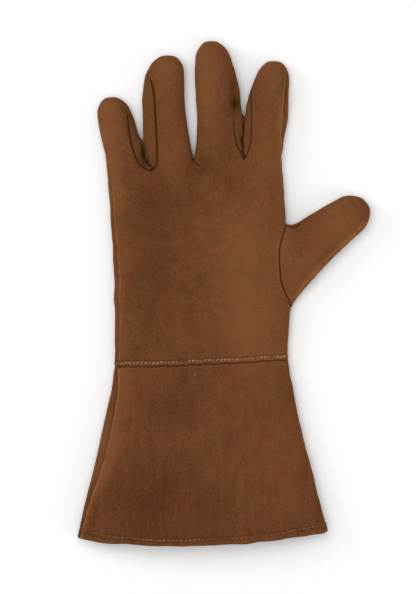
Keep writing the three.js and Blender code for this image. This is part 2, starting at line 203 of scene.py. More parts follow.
for vertex, start, move in zip(flat.vertices, before, moves):
    level = Vector((move.x, move.y, 0))
    level *= MOST_SHIFT / (MOST_SHIFT + level.length)
    vertex.co = start + level + Vector((0, 0, move.z * MOST_SAG / (MOST_SAG + abs(move.z))))


# ---- The seams, turned in
# Each seam is a fine groove where two cut edges roll in to the stitching, with a low ridge on both sides.
# The wrist seam's edges are turned up into the hand and topstitched there, and the cuff's mouth has a
# folded hem. The thumb's own seam runs along its lower edge. Long seams pucker.

# Groove depth and width, ridge height, pucker height, length and reach in mm, then how dark and how worn.
# The dark of the crease and gap lines is painted shade, where these lie in shade.
SEAMS = {
    "side": (0.22, 0.50, 0.22, 0.34, 9.0, 3.6, 0.08, 1.0),
    "cuff_side": (0.24, 0.50, 0.24, 0.42, 10.0, 4.0, 0.08, 1.0),
    "wrist": (0.55, 0.65, 0.12, 0.22, 6.0, 4.0, 0.60, 0.3),
    "thumb": (0.60, 0.60, 0.18, 0.12, 8.0, 3.5, 0.64, 0.5),
    "finger": (0.50, 0.50, 0.14, 0.14, 7.0, 2.5, 0.85, 0.3),
    "gap": (0.45, 0.50, 0.0, 0.0, 5.0, 2.0, 1.0, 0.0),
    "thumb_edge": (0.25, 0.50, 0.28, 0.30, 7.0, 3.2, 0.0, 0.0),
    "crease": (0.60, 0.75, 0.10, 0.0, 5.0, 2.0, 0.78, 0.2),
    "hem": (0.0, 0.5, 0.0, 0.30, 14.0, 10.0, 0.0, 0.0),
}
RIDGE_AT, RIDGE_WIDTH = 1.7, 0.9  # beside each seam, in mm
REACH = 12 * MM
SMOOTHING_ROUNDS = 3
SMOOTHING_SHARE = 0.4
THUMB_EDGE = [
    (47.5, -2.0), (50.8, 2.3), (55.5, 8.3), (61.5, 14.8), (68.0, 21.8),
    (74.5, 28.3), (81.0, 34.3), (87.4, 40.2), (91.6, 44.7),
]
CREASES = [
    [(-19.4, 87.2), (-17.4, 85.0), (-15.5, 82.7)],
    [(43.6, 44.0), (45.6, 43.2), (47.6, 44.0), (50.0, 45.4)],
]


def seam_kind(first, second):
    """What the seam between two cut pieces is."""
    names = {CUT_PIECES[first], CUT_PIECES[second]}
    if "thumb" in names:
        return "thumb"
    if names == {"cuff_back", "cuff_palm"}:
        return "cuff_side"
    if names & {"cuff_back", "cuff_palm"}:
        return "wrist"
    if names == {"hand_back", "hand_palm"}:
        return "side"
    return "finger" if names & {"hand_back", "hand_palm"} else "gap"


skin = bmesh.new()
skin.from_mesh(sewn.data)
for _ in range(SMOOTHING_ROUNDS):
    smoothed = {}
    for vertex in skin.verts:
        along = [
            edge for edge in vertex.link_edges
            if len({face.material_index for face in edge.link_faces}) == 2
        ]
        if len(along) == 2:
            ends = [edge.other_vert(vertex).co for edge in along]
            smoothed[vertex] = vertex.co.lerp((ends[0] + ends[1]) / 2, SMOOTHING_SHARE)
    for vertex, place in smoothed.items():
        vertex.co = place
skin.to_mesh(sewn.data)
skin.free()
sewn.data = rounded(sewn, 2)
skin = bmesh.new()
skin.from_mesh(sewn.data)
bpy.data.objects.remove(sewn)


def soft(distance, width):
    """1 at a place and a smooth fall to nothing at about twice the width from it."""
    return math.exp(-(distance / width) ** 2)


# The outline, where it bulges a little further or less: x, y and the shift in mm
BULGES = [
    (-46.7, 150.9, -0.6, 0.3), (-50.0, 143.1, -0.9, 0.2), (-51.9, 134.0, -1.0, 0.0),
    (-52.2, 127.5, -0.8, 0.0), (-37.0, 154.5, 0.0, 0.7), (-27.2, 150.3, 0.8, 0.6),
    (-8.4, 164.3, 0.0, 0.7), (0.8, 159.4, 0.9, 0.7), (6.0, 148.3, 1.0, 0.3),
    (9.9, 134.7, 0.8, 0.2), (28.1, 150.6, 0.0, 0.8), (39.8, 147.0, 1.1, 0.5),
    (42.4, 137.9, 1.4, 0.0), (42.4, 127.5, 1.3, 0.0), (41.7, 117.1, 0.9, 0.0),
    (40.1, 104.1, 0.6, 0.0), (38.1, 91.1, 0.5, 0.0), (37.8, 78.1, 0.4, 0.0),
    (39.1, 67.7, 0.4, 0.0), (91.1, 61.2, 0.8, -0.1), (94.7, 54.7, 1.3, 0.1),
    (93.7, 46.9, 0.6, -0.1), (-58.4, 113.9, 0.6, 0.4), (-76.9, 89.8, 1.0, 0.0),
    (-73.4, 58.0, 0.3, 0.0), (-73.0, 35.2, 0.5, 0.0), (-71.1, 6.0, 0.6, 0.0),
    (-70.8, -11.6, 0.5, 0.0), (66.4, -152.6, 1.0, -1.2), (44.0, 45.0, 0.2, -1.0),
    (52.5, 48.2, 0.0, -0.5), (60.5, 52.5, 0.0, -0.5), (-70.4, -49.5, -0.5, 0.0),
    (41.0, 49.5, 0.6, 0.0), (18.5, 131.0, -0.7, 0.3), (15.2, 121.0, -0.5, 0.2),
]
BULGE_REACH = 7.0  # mm
for vertex in skin.verts:
    shares = [
        soft(math.hypot(vertex.co.x / MM - x, vertex.co.y / MM - y), BULGE_REACH)
        for x, y, _, _ in BULGES
    ]
    whole = max(1, sum(shares))
    vertex.co.x += sum(share * right for share, (_, _, right, _) in zip(shares, BULGES)) / whole * MM
    vertex.co.y += sum(share * up for share, (_, _, _, up) in zip(shares, BULGES)) / whole * MM

# Where the seams lie on the upper face, in mm: round the roots of the little and ring fingers, round those
# of the middle and first fingers, and beside the first finger
DRAWN_SEAMS = [
    [
        (-61.8, 116.9), (-61.1, 106.7), (-59.2, 96.6), (-56.7, 89.4), (-55.0, 85.1), (-52.2, 81.9),
        (-47.5, 80.0), (-44.2, 80.5), (-42.7, 83.7), (-42.5, 92.3), (-43.0, 102.4), (-43.7, 115.4),
        (-44.1, 124.1), (-44.8, 131.3), (-46.2, 137.8), (-48.5, 141.4),
    ],
    [
        (7.2, 113.9), (7.3, 106.1), (8.0, 100.9), (9.1, 96.0), (11.1, 91.9), (12.8, 89.1), (13.8, 87.8),
        (15.4, 89.8), (16.9, 93.7), (17.8, 98.3), (18.3, 104.1), (18.6, 113.2), (18.4, 122.3),
    ],
    [(41.2, 139.9), (40.1, 126.2), (39.0, 110.0), (38.2, 93.7)],
]
# Where the gaps between those fingers are first, and where they go
DRAWN_GAPS = [
    ((-48.5, 84.0), (-46.4, 84.1)), ((-47.2, 80.7), (-45.5, 80.5)), ((-51.2, 88.9), (-50.7, 88.9)),
    ((-52.4, 93.7), (-52.0, 93.7)), ((13.8, 100.2), (12.4, 100.2)), ((13.8, 93.7), (12.8, 93.7)),
    ((13.6, 90.2), (13.6, 88.2)), ((13.9, 106.7), (13.4, 106.7)), ((14.0, 113.2), (14.1, 113.2)),
]
DRAWN_REACH = 3.6 * MM
UPPER_FACE = 5 * MM
KNUCKLES, FINGER_ROOTS = 60 * MM, 70 * MM
NEIGHBOURS = 8
FAR_OFF = 12 * MM
BLEND = 1.8 * MM
EASING = 4 * MM


def ease_over(places):
    """Moves the upper face by the shifts that are given at some places, and less further off."""
    tree = KDTree(len(places))
    for number, (here, _) in enumerate(places):
        tree.insert(here.to_3d(), number)
    tree.balance()
    for vertex in skin.verts:
        if vertex.co.z > UPPER_FACE and vertex.co.y > KNUCKLES:
            found = tree.find_n(vertex.co.to_2d().to_3d(), NEIGHBOURS)
            least = found[0][2]
            if least < FAR_OFF:
                shares = [math.exp((least ** 2 - gap ** 2) / BLEND ** 2) for _, _, gap in found]
                shift = Vector((0, 0))
                for share, (_, number, _) in zip(shares, found):
                    shift += share * places[number][1]
                shift *= soft(least, EASING) * min(1, (vertex.co.z - UPPER_FACE) / EASING) / sum(shares)
                vertex.co += shift.to_3d()


ease_over([(Vector(start) * MM, (Vector(end) - Vector(start)) * MM) for start, end in DRAWN_GAPS])
drawn_points = []
for vertex in skin.verts:
    between = {face.material_index for face in vertex.link_faces}
    backs = {number for number in between if CUT_PIECES[number] in ("hand_back", "hand_palm")}
    if len(between) > 1 and backs and vertex.co.z > UPPER_FACE and vertex.co.y > FINGER_ROOTS:
        best, gap = None, DRAWN_REACH
        here = vertex.co.to_2d()
        for line in DRAWN_SEAMS:
            for start, end in zip(line, line[1:]):
                start, end = Vector(start) * MM, Vector(end) * MM
                foot, share = geometry.intersect_point_line(here, start, end)
                foot = (start if share < 0 else end if share > 1 else foot).to_2d()
                if (foot - here).length < gap:
                    best, gap = foot, (foot - here).length
        if best:
            drawn_points.append((here, best - here))
ease_over(drawn_points)

# The gaps where the walls of two fingers touch: a line, how far each wall moves and from how far, in mm
CLOSED_GAPS = [
    ([(-51.8, 98.2), (-51.7, 92.4), (-50.5, 89.0), (-47.6, 85.0)], 2.3, 2.9),
    ([(14.1, 113.2), (13.4, 106.7), (12.4, 100.2), (12.8, 93.7)], 1.5, 2.4),
]
for vertex in skin.verts:
    x, y, _ = vertex.co / MM
    for line, closing, reach in CLOSED_GAPS:
        top, bottom = line[0][1] + 4, line[-1][1] - 3
        if bottom < y < top:
            middle = np.interp(y, [p[1] for p in reversed(line)], [p[0] for p in reversed(line)])
            ends = min(1, (top - y) / 4, (y - bottom) / 3)
            push = min(abs(middle - x), closing * ends * soft(x - middle, reach))
            vertex.co.x += math.copysign(push, middle - x) * MM
skin.normal_update()

lines = {kind: [] for kind in SEAMS}
for edge in skin.edges:
    ends = [end.co.copy() for end in edge.verts]
    if edge.is_boundary:
        lines["hem"].append(ends)
    else:
        first, second = (face.material_index for face in edge.link_faces)
        if first != second:
            lines[seam_kind(first, second)].append(ends)

surface = BVHTree.FromBMesh(skin)


LAID_STEPS = 12


def laid(points):
    """Short lines over the glove's upper face along some points, which are given in mm."""
    run = []
    for start, end in zip(points, points[1:]):
        for step in range(LAID_STEPS):
            over = Vector((*Vector(start).lerp(Vector(end), step / LAID_STEPS), 60)) * MM
            found = surface.ray_cast(over, Vector((0, 0, -1)))[0]
            if found and found.z > 3 * MM:
                run.append(found)
    return [list(pair) for pair in zip(run, run[1:])]


lines["thumb_edge"] = laid(THUMB_EDGE)
lines["crease"] = [line for crease in CREASES for line in laid(crease)]

trees = {}
for kind, parts in lines.items():
    tree = KDTree(len(parts))
    for number, (start, end) in enumerate(parts):
        tree.insert((start + end) / 2, number)
    tree.balance()
    trees[kind] = tree


def nearest(kind, point):
    """The nearest point of the seams of one kind, and how far off it is."""
    best, gap = None, REACH
    for _, number, rough in trees[kind].find_n(point, 3):
        if rough > REACH:
            continue
        start, end = lines[kind][number]
        foot, share = geometry.intersect_point_line(point, start, end)
        foot = start if share < 0 else end if share > 1 else foot
        if (foot - point).length < gap:
            best, gap = foot, (foot - point).length
    return best, gap


# Pressed places and the deep gaps between the fingers: x, y, width, length, depth in mm, and how much
# painted shade they get
DENTS = [
    (7.9, 123.6, 3.0, 4.4, 0.8, 0.95),
    (6.3, 133.0, 2.2, 6.0, 0.2, 0.36),
    (9.4, 119.5, 1.8, 3.5, 0.2, 0.40),
    (13.0, 108.5, 0.8, 6.5, 0.0, 0.85),
    (-13.6, 80.0, 5.0, 3.2, 0.4, 0.20),
    (-44.9, 131.0, 0.9, 1.8, 0.3, 0.85),
    (-51.6, 92.4, 2.1, 5.0, 0.0, 1.0),
    (-49.0, 87.0, 0.9, 2.6, 0.0, 0.9),
    (12.2, 100.0, 1.0, 4.2, 0.0, 1.0),
    (12.9, 92.5, 0.8, 3.0, 0.0, 0.7),
]

# Where handling has stroked the nap, and painted highlight along the left edges and the first finger's
# crest: x, y, width and length in mm, and how much lighter
STROKED_AND_LIT = [
    (-47.4, 20.9, 14.0, 38.0, -0.17), (-40.9, 61.2, 13.0, 18.0, -0.09), (-12.9, 83.3, 9.0, 6.0, -0.16),
    (17.1, 2.0, 18.0, 50.0, 0.28), (-71.4, 71.0, 6.0, 20.0, 0.32), (-68.5, -5.0, 4.0, 40.0, 0.10),
    (-37.6, -68.8, 20.0, 20.0, -0.12), (-79.9, -85.0, 7.0, 34.0, 0.28), (-44.0, -138.0, 38.0, 25.0, -0.19),
    (40.4, -114.0, 20.0, 39.0, 0.12), (-76.6, 119.7, 8.0, 20.0, 0.24), (-14.0, 138.7, 9.0, 32.0, 0.24),
    (3.4, 116.7, 4.5, 22.0, -0.16), (79.0, 45.0, 15.0, 16.0, 0.28), (54.0, 19.0, 12.0, 16.0, 0.16),
    (30.7, 128.0, 10.0, 20.0, 0.05), (-37.6, 132.0, 7.0, 20.0, 0.14), (39.0, 66.0, 5.0, 38.0, 0.25),
    (-25.0, 62.0, 28.0, 30.0, -0.06), (-2.0, 130.0, 9.0, 26.0, 0.10), (-76.0, 96.0, 7.0, 16.0, 0.20),
    (-37.0, 148.0, 8.0, 8.0, 0.22), (28.0, 147.0, 8.0, 7.0, 0.12), (36.0, 138.0, 7.0, 14.0, 0.10),
    (37.3, 107.0, 1.4, 13.0, 0.80), (29.0, 90.0, 9.0, 13.0, 0.20), (27.0, -53.0, 12.0, 16.0, 0.14),
]


def seam_shows(kind, foot):
    """How deep and dark a seam is at a point in mm. Some are pressed flat or lie round a finger's side.
    Along the first finger's outer side the dark is made stronger, as painted shade.
    """
    if kind == "finger" and foot.z > 5:
        if foot.x < -47.5 and 126 < foot.y < 139:
            return 0.1
        if -28 < foot.x < -3:
            return 0.3
        if 3 < foot.x < 12 and foot.y > 112:
            return 0.2
        if 3 < foot.x < 24:
            return 0.75
    if kind == "side" and foot.x > 34 and foot.y > 86:
        return 6.0 if foot.y > 128 else 3.0
    return 1.0


def pucker_share(foot):
    """How much the seam at a point in mm puckers. The fingers are smooth but for the first one's side."""
    if foot.y > 78:
        return 1.3 if foot.x > 34 and foot.y < 134 else 0.25
    return 0.35 if foot.x > 25 else 1.0


def seam_wear_and_light(kind, foot):
    """How much more or less worn a seam is at a point in mm than elsewhere. Along the first finger's outer
    side and the cuff's left side the extra is painted highlight as well as wear.
    """
    if kind == "side" and foot.y > 78:
        return 3.2 if foot.x > 34 else 0.2
    return 1.8 if kind == "cuff_side" and foot.x < 0 else 1.0


def strays(point, most, length):
    """How far a sewn line strays up or down the arm at a point."""
    return most * 2 * noise.noise(Vector((point.x, point.z, 5 * MM)) / length)


# How far above its seam or edge a row of stitches runs, and how far and over what length it strays
STITCH_LINES = {"wrist": 2.4 * MM, "hem": 5.1 * MM}
STRAYING = {"wrist": (0.35 * MM, 7 * MM), "hem": (0.45 * MM, 12 * MM)}
WRIST_LIFT, WRIST_STITCHED = 0.28, 0.25  # mm
HEM_FOLD = HEM_LIFT = 1.3  # mm
HEM_LIFTED = (-80, -64, 40, 54)  # from where to where across the glove, in mm


def wrist_fold(gap, out):
    """The turned-up edges above the wrist seam: how far they lift the face, in mm, and the painted shade
    along the fold's upper edge.
    """
    across = (gap - STITCH_LINES["wrist"]) / MM
    band = min(1, 0.1 + 2 * out.z ** 2) / (1 + math.exp(min(40, across / 0.18)))
    lift = WRIST_LIFT * band * (1 - soft(gap / MM, 0.8)) - WRIST_STITCHED * soft(across, 0.55)
    return lift, 0.28 * soft(across - 1.3, 0.6)


def hem_fold(point, gap):
    """The folded hem: how far it moves the cloth up the arm and out, in mm, the painted shade on both sides
    of its stitching, and its wear.
    """
    apart = gap / MM
    across = apart - STITCH_LINES["hem"] / MM
    round_edge = 1 - math.sqrt(1 - min(1, max(0, 1 - apart / HEM_FOLD)) ** 2)
    middle = float(np.interp(point.x / MM, HEM_LIFTED, (0, 1, 1, 0)))
    up = HEM_LIFT * min(1, point.z / (13 * MM)) * middle * soft(apart, 9)
    lift = -0.2 * soft(across, 0.6) - 0.8 * HEM_FOLD * round_edge
    shade = max(0.18 * soft(across - 0.9, 0.6), 0.25 * soft(across + 1.2, 0.6))
    return up, lift, shade, 0.3 * soft(apart - 1.3, 0.8)


PULL, PULL_REACH = 0.45, 1.5 * MM  # how much the points beside a seam gather at it
# painted highlight along the left side of the cuff, beside its side seam
CUFF_SIDE_HIGHLIGHT = 0.42
CUFF_HIGHLIGHT_REACH = ((-134, -115, -95), (3.5, 6.0, 9.0))  # at which heights, in mm, and how far
LAYERS = {
    name: skin.verts.layers.float.new(name)
    for name in ("seam_gap", "seam_line_and_shade", "seam_worn_and_lit", "painted_shade", "worn_and_lit", "stroked_and_lit", "hem")
}
moved = {}
for vertex in skin.verts:
    point, out = vertex.co, vertex.normal
    piece = CUT_PIECES[vertex.link_faces[0].material_index]
    groove = ridge = pucker = painted_shade = worn_and_lit = stroked_and_lit = 0
    closest, closest_gap = None, REACH
    seam_line_and_shade = seam_worn_and_lit = 0
    gaps = {}
    # what each kind of seam does to the point
    for kind, (depth, width, crest, height, length, reach, darkness, wear) in SEAMS.items():
        foot, gap = nearest(kind, point)
        gaps[kind] = gap
        if foot is None:
            continue
        apart = gap / MM
        showing = seam_shows(kind, foot / MM)
        if kind == "wrist":
            showing *= min(1, 0.15 + 2 * out.z ** 2)
        if kind not in ("hem", "thumb_edge") and gap < closest_gap:
            closest, closest_gap = foot, gap
            seam_line_and_shade = darkness * showing
            seam_worn_and_lit = wear * min(1, showing) * seam_wear_and_light(kind, foot / MM)
            if kind == "side" and foot.x > 34 * MM and piece == "hand_back":
                # painted highlight on the crest along the first finger, where its steep side faces away
                # from the lamps
                worn_and_lit = 2.0 * soft(foot.y / MM - 107, 12) * soft(apart - 3.2, 0.9)
            # painted shade on the palm's side of a side seam, which lies in its own shade, and less wear
            # there
            if "side" in kind and piece in ("hand_palm", "cuff_palm"):
                painted_shade, seam_worn_and_lit = 0.10 * soft(apart - 1.2, 1.4), seam_worn_and_lit * 0.1
        groove = max(groove, depth * min(1, showing) * soft(apart, width))
        ridge = max(ridge, crest * soft(apart - RIDGE_AT, RIDGE_WIDTH))
        if kind == "thumb_edge":
            # painted highlight on the thumb's upper side of its edge, and painted shade below it, where it
            # lies in its own shade
            inside = (point - foot).dot(Vector((-1, 1, 0))) / MM
            worn_and_lit = max(worn_and_lit, 2.4 * soft(inside - 1.0, 2.0) * soft(apart, 3))
            if inside < -1.0:
                painted_shade = max(painted_shade, 0.4 * soft(apart - 1.6, 1.0))
        waves = 2 * noise.noise(foot / (length * MM) * 1.6)
        pucker += height * pucker_share(foot / MM) * soft(apart, reach) * waves
    # where the nap is stroked, and where highlight and shade are painted
    # painted highlight beside the cuff's left side seam
    if piece == "cuff_back" and point.x < 0:
        reach = float(np.interp(point.y / MM, *CUFF_HIGHLIGHT_REACH))
        stroked_and_lit = CUFF_SIDE_HIGHLIGHT * soft(gaps["cuff_side"] / MM, reach)
    # painted shade beside the finger seams at the little finger and ring finger
    if gaps["finger"] < REACH and point.x < -36 * MM and out.z > 0.2:
        painted_shade = max(painted_shade, 0.30 * soft(gaps["finger"] / MM, 1.5))
    if point.z > 2 * MM:
        x, y, _ = point / MM
        # painted shade in the pressed places and the deep gaps between the fingers
        for middle_x, middle_y, across, along, depth, darkness in DENTS:
            off = soft(x - middle_x, across) * soft(y - middle_y, along)
            groove += depth * off
            painted_shade = max(painted_shade, darkness * off)
        # stroked nap, and painted highlight on the left edges and the first finger's crest
        for middle_x, middle_y, across, along, lighter in STROKED_AND_LIT:
            stroked_and_lit += lighter * soft(x - middle_x, across) * soft(y - middle_y, along)
    # how the point moves: out, in to the seam and with its strays, then with the folds
    move = out * (ridge + pucker - groove) * MM
    if closest:
        pull = PULL * soft(closest_gap, PULL_REACH)
        move += (closest - point) * pull
        closest_gap *= 1 - pull
    move.y += strays(point, *STRAYING["wrist"]) * soft(gaps["wrist"] / MM, 5)
    move.y += strays(point, *STRAYING["hem"]) * soft(gaps["hem"] / MM, 6)
    if piece in ("hand_back", "hand_palm"):
        lift, shade = wrist_fold(gaps["wrist"], out)
        move += out * lift * MM
        # painted shade along the turned-up edges above the wrist seam
        painted_shade = max(painted_shade, shade)
    if piece in ("cuff_back", "cuff_palm"):
        up, lift, shade, edge_worn = hem_fold(point, gaps["hem"])
        move += (out * lift + Vector((0, up, 0))) * MM
        # painted shade beside the hem's stitching
        painted_shade, worn_and_lit = max(painted_shade, shade), max(worn_and_lit, edge_worn)
    moved[vertex] = (point + move, {
        "seam_gap": closest_gap / MM, "seam_line_and_shade": min(1, seam_line_and_shade), "seam_worn_and_lit": seam_worn_and_lit,
        "painted_shade": min(1, painted_shade), "worn_and_lit": worn_and_lit, "stroked_and_lit": stroked_and_lit, "hem": gaps["hem"] / MM,
    })
for vertex, (place, values) in moved.items():
    place.z = max(0, place.z)
    vertex.co = place
    for name, value in values.items():
        vertex[LAYERS[name]] = value
skin.normal_update()
surface = BVHTree.FromBMesh(skin)


# ---- Faux suede
# A knitted backing with a short brushed nap. It is matt, with soft clouds of lighter and darker brown where
# the nap lies differently, faint streaks along the brushing, worn ridges beside the seams and dark grooves.
# Painted highlight lies on the left edges, the first finger's crest and the thumb's upper edge, and painted
# shade in the creases, between the fingers, beside the folds and below the thumb.

CLOUD_SIZE, PATCH_SIZE, HUE_SIZE = 34, 9, 16  # mm
BRUSHING_SIZE, GRAIN_SIZE, FIBRE_SIZE = 2.6, 1.2, 0.55  # mm
NAP_DEPTH = 0.25 * MM
# Shares of the cloth's own red, green and blue
DARK_NAP, LIGHT_NAP = (0.62, 0.56, 0.57), (1.42, 1.54, 1.56)
WORN_AND_LIT_NAP = (1.9, 2.1, 2.1)
IN_SHADOW, IN_SEAM_AND_SHADE = (0.17, 0.1, 0.04), (0.38, 0.17, 0.04)
RIDGE_STARTS, RIDGE_ENDS = (0.4, 0.9), (1.2, 2.0)  # mm from the seam
REDDER, GREENER = (1.01, 0.92, 0.87, 1), (0.95, 1.01, 0.85, 1)
SHEEN = (0.8, 0.4, 0.18, 1)


class Socket:
    """A value in a material's nodes, on which sums can be written."""

    def __init__(self, cloth, socket):
        self.cloth, self.socket = cloth, socket

    def sum(self, operation, first, second):
        return self.cloth.node("ShaderNodeMath", {"operation": operation}, {0: first, 1: second})

    def __add__(self, other):
        return self.sum("ADD", self, other)

    def __sub__(self, other):
        return self.sum("SUBTRACT", self, other)

    def __rsub__(self, other):
        return self.sum("SUBTRACT", other, self)

    def __mul__(self, other):
        return self.sum("MULTIPLY", self, other)

    __radd__, __rmul__ = __add__, __mul__


class Suede:
    """A material and its nodes."""

    def __init__(self, name):
        self.material = bpy.data.materials.new(name)
        self.material.use_nodes = True
        self.tree = self.material.node_tree
        self.shader = self.tree.nodes["Principled BSDF"]

    def node(self, kind, settings, inputs, output=0):
        made = self.tree.nodes.new(kind)
        for key, value in settings.items():
            setattr(made, key, value)
        for key, value in inputs.items():
            if isinstance(value, Socket):
                self.tree.links.new(value.socket, made.inputs[key])
            else:
                made.inputs[key].default_value = value
        return Socket(self, made.outputs[output])

    def noise(self, place, size, detail=3, roughness=0.5):
        return self.node("ShaderNodeTexNoise", {}, {
            "Vector": place, "Scale": 1000 / size, "Detail": detail, "Roughness": roughness,
        })

    def ease(self, value, low, high):
        """0 at low, 1 at high and a smooth rise between."""
        return self.node("ShaderNodeMapRange", {"interpolation_type": "SMOOTHSTEP"}, {
            "Value": value, "From Min": low, "From Max": high,
        })

    def mix(self, share, first, second):
        return self.node("ShaderNodeMix", {"data_type": "RGBA"}, {0: share, 6: first, 7: second}, 2)

    def tint(self, share, first, second):
        settings = {"data_type": "RGBA", "blend_type": "MULTIPLY"}
        return self.node("ShaderNodeMix", settings, {0: share, 6: first, 7: second}, 2)

    def layer(self, name):
        """A value that was worked out for each point of the skin."""
        return self.node("ShaderNodeAttribute", {"attribute_name": name}, {}, 2)


def shaded(colour, shares):
    """A colour with each of its parts multiplied."""
    return (*(part * share for part, share in zip(colour, shares)), 1)


def suede(name, colour, streaks):
    """Faux suede of one colour. Streaks is how strongly the brushing shows."""
    cloth = Suede(name)
    place = cloth.node("ShaderNodeTexCoord", {}, {}, 3)
    along = cloth.node("ShaderNodeMapping", {}, {"Vector": place, "Scale": (1, 0.12, 1)})
    clouds = cloth.noise(place, CLOUD_SIZE, 2)
    patches = cloth.noise(place, PATCH_SIZE, 3, 0.6)
    brushing = cloth.noise(along, BRUSHING_SIZE, 3, 0.6)
    grain = cloth.noise(place, GRAIN_SIZE, 2, 0.6)
    # the nap's tone, with some painted highlight added from the points' layer
    tone = (0.5 + 0.4 * (clouds - 0.5) + 0.3 * (patches - 0.5) + streaks * (brushing - 0.5)
            + 0.6 * (grain - 0.5) + cloth.layer("stroked_and_lit"))
    brown = cloth.mix(cloth.ease(tone, 0.05, 0.95), shaded(colour, DARK_NAP), shaded(colour, LIGHT_NAP))
    hue = cloth.noise(place, HUE_SIZE, 3, 0.6)
    brown = cloth.tint(cloth.ease(hue, 0.5, 0.7), brown, REDDER)
    brown = cloth.tint(1 - cloth.ease(hue, 0.3, 0.5), brown, GREENER)
    gap = cloth.layer("seam_gap")
    uneven = cloth.noise(place, 3.2, 2)
    beside = cloth.ease(gap, *RIDGE_STARTS) * (1 - cloth.ease(gap, *RIDGE_ENDS))
    worn_and_lit = cloth.layer("worn_and_lit") + cloth.layer("seam_worn_and_lit") * beside
    worn_and_lit = worn_and_lit * (0.3 + 1.1 * cloth.ease(uneven, 0.35, 0.65))
    # worn nap, and painted highlight on some edges and crests
    brown = cloth.mix(0.6 * worn_and_lit, brown, shaded(colour, WORN_AND_LIT_NAP))
    # painted shade, where the cloth lies in shade
    brown = cloth.mix(cloth.layer("painted_shade"), brown, shaded(colour, IN_SHADOW))
    # dark seam lines, and painted shade in the creases and deep gaps between the fingers
    line = cloth.layer("seam_line_and_shade") * (1 - cloth.ease(gap, 0.15, 0.6 + 1.0 * uneven))
    brown = cloth.mix(line, brown, shaded(colour, IN_SEAM_AND_SHADE))
    fibres = cloth.noise(along, FIBRE_SIZE, 2, 0.7)
    nap = cloth.node("ShaderNodeBump", {}, {
        "Strength": 0.5, "Distance": NAP_DEPTH, "Height": 0.6 * fibres + 0.5 * grain + 0.5 * patches,
    })
    shader = cloth.shader
    shader.inputs["Sheen Weight"].default_value = 0.15
    shader.inputs["Sheen Roughness"].default_value = 0.5
    shader.inputs["Sheen Tint"].default_value = SHEEN
    shader.inputs["Specular IOR Level"].default_value = 0.03
    shader.inputs["Roughness"].default_value = 0.95
    cloth.tree.links.new(brown.socket, shader.inputs["Base Color"])
    cloth.tree.links.new(nap.socket, shader.inputs["Normal"])
    return cloth.material


SUEDES = {
    "suede_back": suede("suede_back", (0.134, 0.0475, 0.0167), 0.2),
    "suede_palm": suede("suede_palm", (0.127, 0.0450, 0.0157), 0.2),
    "suede_fourchette": suede("suede_fourchette", (0.128, 0.0462, 0.0160), 0.15),
    "suede_cuff": suede("suede_cuff", (0.122, 0.0418, 0.0154), 0.4),
}


# ---- The panels
# Each cut piece is taken off the sewn skin along its seams and gets the thickness of the cloth, inwards.
# The cuff's mouth is folded in by 6.5 mm, which makes it twice as thick there.

CLOTH = 1.5 * MM
HEM_CLOTH = 2.6 * MM
HEM_DEPTH, HEM_EASE = 6.5, 0.7  # mm
HEM_EDGE, EDGE_CLOTH = 1.2, 0.45  # the fold thins to this share of the hem over these last mm
SLOTS = {
    "hand_back": "suede_back", "hand_palm": "suede_palm", "thumb": "suede_back",
    "cuff_back": "suede_cuff", "cuff_palm": "suede_cuff",
}

for number, name in enumerate(CUT_PIECES):
    panel = skin.copy()
    others = [face for face in panel.faces if face.material_index != number]
    bmesh.ops.delete(panel, geom=others, context="FACES")
    hem = panel.verts.layers.float["hem"]
    weights = [
        max(0, min(1, (HEM_DEPTH - vertex[hem]) / HEM_EASE))
        * (EDGE_CLOTH + (1 - EDGE_CLOTH) * min(1, vertex[hem] / HEM_EDGE))
        for vertex in panel.verts
    ]
    for face in panel.faces:
        face.smooth = True
        face.material_index = 0
    mesh = bpy.data.meshes.new(name + "_suede")
    panel.to_mesh(mesh)
    panel.free()
    piece = bpy.data.objects.new(name + "_suede", mesh)
    bpy.context.scene.collection.objects.link(piece)
    wall = piece.modifiers.new("wall", "SOLIDIFY")
    wall.thickness, wall.offset = CLOTH, -1
    if name.startswith("cuff"):
        thick = piece.vertex_groups.new(name="hem")
        for index, weight in enumerate(weights):
            thick.add([index], weight, "REPLACE")
        wall.thickness = HEM_CLOTH
        wall.vertex_group = "hem"
        wall.thickness_vertex_group = CLOTH / HEM_CLOTH
    slot = SLOTS.get(name, "suede_fourchette")
    mesh.materials.append(SUEDES[slot])
    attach(piece, "root")
    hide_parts(name)


# ---- The topstitching
# Tan thread: short slanting stitches over the turned-up edges above the wrist seam, and a finer row
# that holds the fold of the hem.

FLAT_THREAD = 0.7
SUNK_THREAD = 0.1
UNEVEN_PLACE, UNEVEN_SLANT, UNEVEN_SIZE = 0.15, 0.12, (0.88, 1.1)
DARK_THREAD, LIGHT_THREAD = (0.55, 0.5, 0.45), (1.35, 1.4, 1.4)


def in_order(parts):
    """The points of a closed run of short lines, one after the other."""
    def key(point):
        return tuple(round(value / (0.01 * MM)) for value in point)

    ends = {}
    for start, end in parts:
        ends.setdefault(key(start), []).append((start, end))
        ends.setdefault(key(end), []).append((end, start))
    point, run, seen = parts[0][0], [], set()
    while key(point) not in seen:
        seen.add(key(point))
        run.append(point)
        following = [far for _, far in ends[key(point)] if key(far) not in seen]
        if not following:
            break
        point = following[0]
    return run


